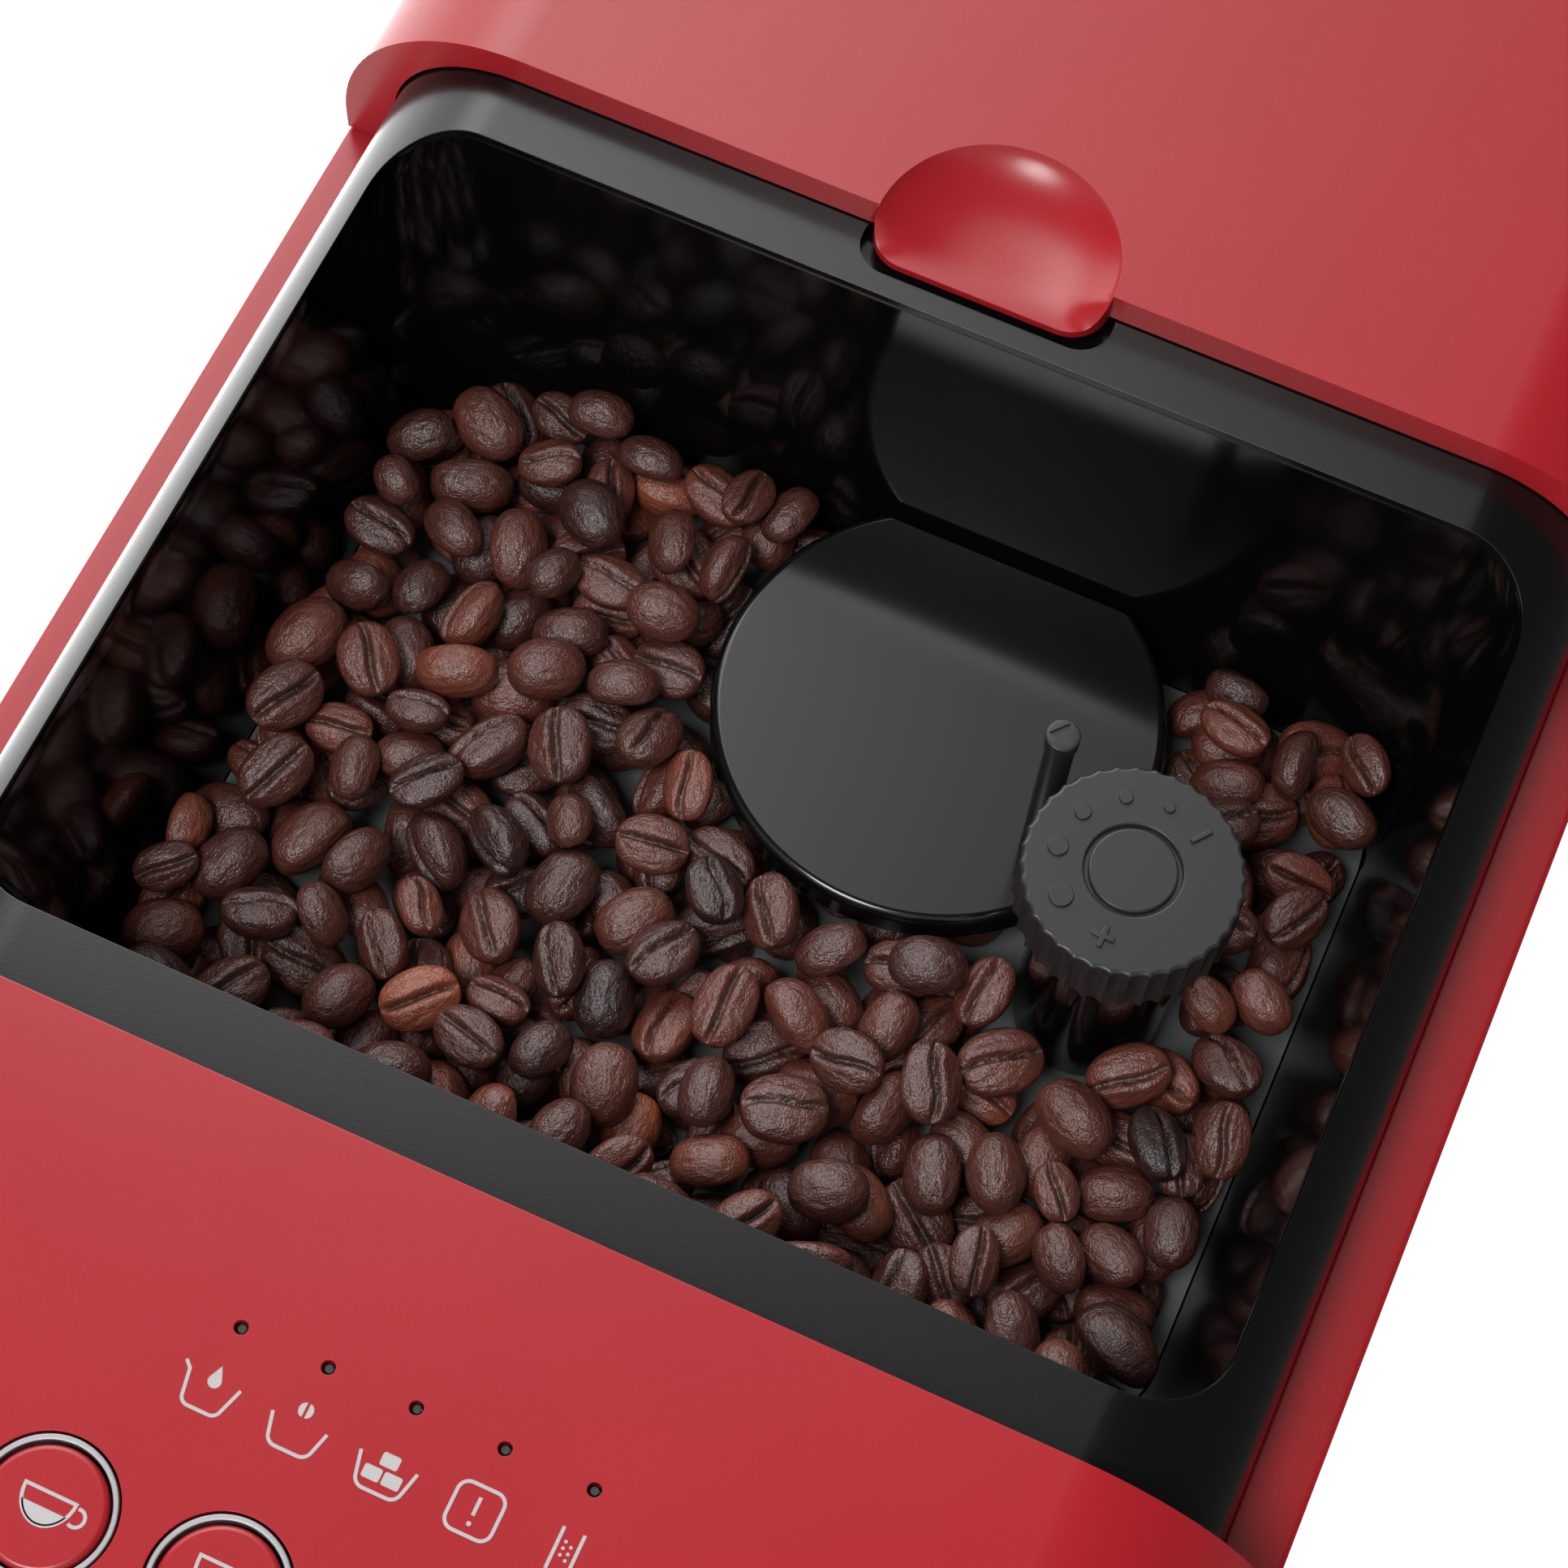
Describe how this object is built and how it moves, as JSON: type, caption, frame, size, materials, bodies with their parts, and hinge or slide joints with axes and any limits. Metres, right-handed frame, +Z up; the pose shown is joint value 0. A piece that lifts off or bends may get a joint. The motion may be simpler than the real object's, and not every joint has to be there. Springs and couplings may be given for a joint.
{
  "type": "bean-to-cup coffee machine",
  "caption": "Slim bean-to-cup coffee machine: red casing, sliding lid over a bean hopper with a grind knob, push-button panel, height-adjustable spout, drip tray and rear water tank.",
  "frame": {"origin": "middle of the footprint, on the surface it stands on", "axes": "+Z up, +Y towards the back, front with spout and tray at -Y, +X to the right seen from the front"},
  "size_m": [0.18, 0.433, 0.339],
  "materials": {
    "red_satin": "satin red moulded plastic",
    "button_red": "satin red moulded plastic",
    "black_satin": "fine satin black moulded plastic",
    "black_gloss": "polished black plastic",
    "dark_grey": "satin charcoal plastic",
    "pale_floor": "pale translucent grey plastic",
    "ring_metal": "satin metal ring",
    "steel": "brushed stainless steel",
    "lens": "smoked indicator lens",
    "beans": "roasted coffee beans",
    "board": "green circuit board",
    "rubber": "soft black rubber",
    "tank_clear": "smoked clear plastic"
  },
  "bodies": {
    "casing": {"control_cover": "red_satin", "left_side_panel": "red_satin", "right_side_panel": "red_satin", "front_fascia": "red_satin", "button_ring_1": "ring_metal", "button_ring_2": "ring_metal", "button_ring_3": "ring_metal", "button_ring_4": "ring_metal", "status_lens_1": "lens", "status_lens_2": "lens", "status_lens_3": "lens", "status_lens_4": "lens", "status_lens_5": "lens", "control_board": "board", "hopper_bezel": "black_satin", "base_plate": "black_satin", "head_underside": "black_satin", "back_panel": "black_satin", "rear_base": "black_satin", "mains_inlet": "black_satin", "bean_hopper": "black_gloss", "knob_pedestal": "black_gloss", "niche_panel": "black_gloss", "hopper_floor": "pale_floor", "bean_bed": "beans", "grinder_cover": "dark_grey", "pointer_post": "dark_grey", "grinder_housing": "dark_grey", "grind_chute": "dark_grey", "brew_unit": "dark_grey", "upper_burr": "steel", "grinder_motor": "steel", "spout_rail": "steel", "water_pump": "steel", "thermoblock": "steel", "door_hinge_pin": "steel", "foot_front_left": "rubber", "foot_front_right": "rubber", "foot_rear_left": "rubber", "foot_rear_right": "rubber"},
    "lid": {"sliding_lid": "red_satin"},
    "knob": {"grind_knob": "dark_grey"},
    "button_1": {"coffee_button_1": "button_red"},
    "button_2": {"coffee_button_2": "button_red"},
    "button_3": {"coffee_button_3": "button_red"},
    "button_4": {"coffee_button_4": "button_red"},
    "spout": {"spout_housing": "black_gloss", "nozzle_left": "steel", "nozzle_right": "steel"},
    "tray": {"drip_tray": "black_satin", "grounds_container": "black_satin"},
    "grate": {"drip_grate": "steel"},
    "float": {"float_indicator": "button_red"},
    "door": {"service_door": "red_satin"},
    "tank": {"water_tank": "tank_clear"},
    "tank_cap": {"tank_lid": "red_satin"},
    "valve": {"tank_valve": "steel"},
    "switch": {"power_switch": "black_satin"},
    "burr": {"lower_burr": "steel"}
  },
  "joints": [
    {"name": "lid_slide", "type": "slide", "parent": "casing", "child": "lid", "axis": [0, -1, 0], "range_m": [0, 0.1255]},
    {"name": "knob_turn", "type": "hinge", "parent": "casing", "child": "knob", "pos_m": [0.0445, -0.0487, 0.324], "axis": [0, 0, 1], "range_deg": [-125, 92]},
    {"name": "button_1_press", "type": "slide", "parent": "casing", "child": "button_1", "axis": [0, 0, -1], "range_m": [0, 0.0012], "stiffness_N_per_m": 400, "springref_m": -0.001},
    {"name": "button_2_press", "type": "slide", "parent": "casing", "child": "button_2", "axis": [0, 0, -1], "range_m": [0, 0.0012], "stiffness_N_per_m": 400, "springref_m": -0.001},
    {"name": "button_3_press", "type": "slide", "parent": "casing", "child": "button_3", "axis": [0, 0, -1], "range_m": [0, 0.0012], "stiffness_N_per_m": 400, "springref_m": -0.001},
    {"name": "button_4_press", "type": "slide", "parent": "casing", "child": "button_4", "axis": [0, 0, -1], "range_m": [0, 0.0012], "stiffness_N_per_m": 400, "springref_m": -0.001},
    {"name": "spout_height", "type": "slide", "parent": "casing", "child": "spout", "axis": [0, 0, 1], "range_m": [-0.016, 0.033]},
    {"name": "tray_slide", "type": "slide", "parent": "casing", "child": "tray", "axis": [0, -1, 0], "range_m": [0, 0.15]},
    {"name": "grate_lift", "type": "slide", "parent": "tray", "child": "grate", "axis": [0, 0, 1], "range_m": [0, 0.03]},
    {"name": "float_rise", "type": "slide", "parent": "tray", "child": "float", "axis": [0, 0, 1], "range_m": [0, 0.006]},
    {"name": "service_door_hinge", "type": "hinge", "parent": "casing", "child": "door", "pos_m": [0.0887, -0.0141, 0.1725], "axis": [0, 0, 1], "range_deg": [0, 100]},
    {"name": "tank_lift", "type": "slide", "parent": "casing", "child": "tank", "axis": [0, 0, 1], "range_m": [0, 0.25]},
    {"name": "tank_lid_hinge", "type": "hinge", "parent": "tank", "child": "tank_cap", "pos_m": [0, 0.2165, 0.3093], "axis": [-1, 0, 0], "range_deg": [0, 85]},
    {"name": "valve_lift", "type": "slide", "parent": "tank", "child": "valve", "axis": [0, 0, 1], "range_m": [0, 0.003], "stiffness_N_per_m": 300, "springref_m": -0.002},
    {"name": "switch_rock", "type": "hinge", "parent": "casing", "child": "switch", "pos_m": [-0.018, 0.2149, 0.033], "axis": [1, 0, 0], "range_deg": [-4, 4]},
    {"name": "burr_spin", "type": "hinge", "parent": "casing", "child": "burr", "pos_m": [0.0125, -0.0245, 0.25], "axis": [0, 0, 1], "continuous": true}
  ]
}
